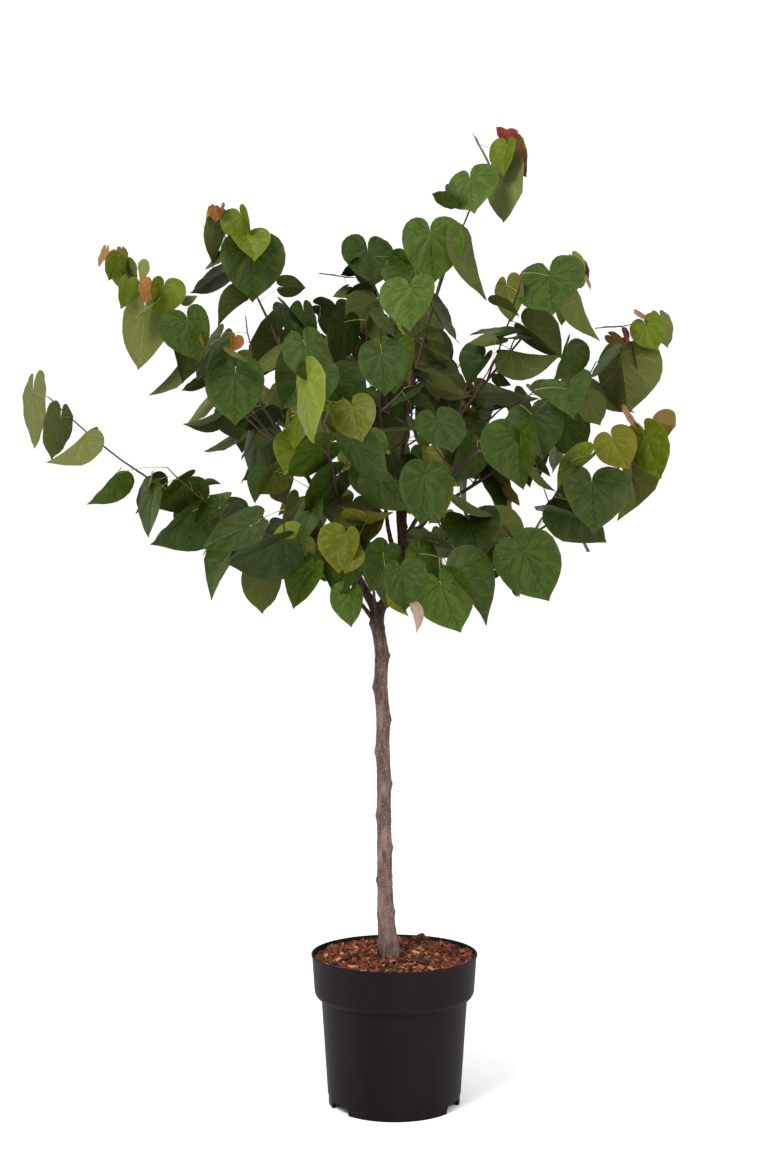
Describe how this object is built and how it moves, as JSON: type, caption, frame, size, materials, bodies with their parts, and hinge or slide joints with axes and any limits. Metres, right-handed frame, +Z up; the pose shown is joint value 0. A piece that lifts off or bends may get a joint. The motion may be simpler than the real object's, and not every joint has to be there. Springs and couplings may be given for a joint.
{
  "type": "young potted redbud tree",
  "caption": "Young heart-leaved redbud on a slim zigzag stem, its open crown of long shoots above a round nursery pot topped with bark mulch.",
  "frame": {"origin": "middle of the pot's flat underside, on the surface that the pot stands on", "axes": "+Z up along the stem; -Y towards the side seen in the picture; +X to the right of that view"},
  "size_m": [1.1104, 0.807, 1.6338],
  "materials": {
    "pot_plastic": "satin near-black moulded plastic",
    "compost": "moist dark potting compost",
    "bark_mulch": "loose reddish-brown bark chips",
    "trunk_bark": "matt grey-brown bark with small pale pores",
    "bough_bark": "smooth dark purplish-brown bark",
    "foliage": "thin green leaves with a soft sheen"
  },
  "bodies": {
    "root": {"pot": "pot_plastic", "compost": "compost", "bark_mulch": "bark_mulch", "trunk": "trunk_bark", "bough_left": "bough_bark", "bough_right": "bough_bark", "bough_far_left": "bough_bark", "bough_low_left": "bough_bark", "bough_upper_left": "bough_bark", "bough_mid_left": "bough_bark", "bough_front": "bough_bark", "bough_centre": "bough_bark", "bough_inner": "bough_bark", "bough_top": "bough_bark", "bough_top_left": "bough_bark", "bough_upper_right": "bough_bark", "bough_mid_right": "bough_bark", "bough_low_right": "bough_bark", "bough_front_right": "bough_bark", "bough_front_low": "bough_bark", "bough_back": "bough_bark", "bough_back_left": "bough_bark", "bough_back_right": "bough_bark", "bough_low_back_left": "bough_bark", "bough_low_back_right": "bough_bark", "leaves_left": "foliage", "leaves_far_left": "foliage", "leaves_low_left": "foliage", "leaves_upper_left": "foliage", "leaves_mid_left": "foliage", "leaves_front": "foliage", "leaves_centre": "foliage", "leaves_inner": "foliage", "leaves_top": "foliage", "leaves_top_left": "foliage", "leaves_right": "foliage", "leaves_upper_right": "foliage", "leaves_mid_right": "foliage", "leaves_low_right": "foliage", "leaves_front_right": "foliage", "leaves_front_low": "foliage", "leaves_back": "foliage", "leaves_back_left": "foliage", "leaves_back_right": "foliage", "leaves_low_back_left": "foliage", "leaves_low_back_right": "foliage"}
  },
  "joints": []
}
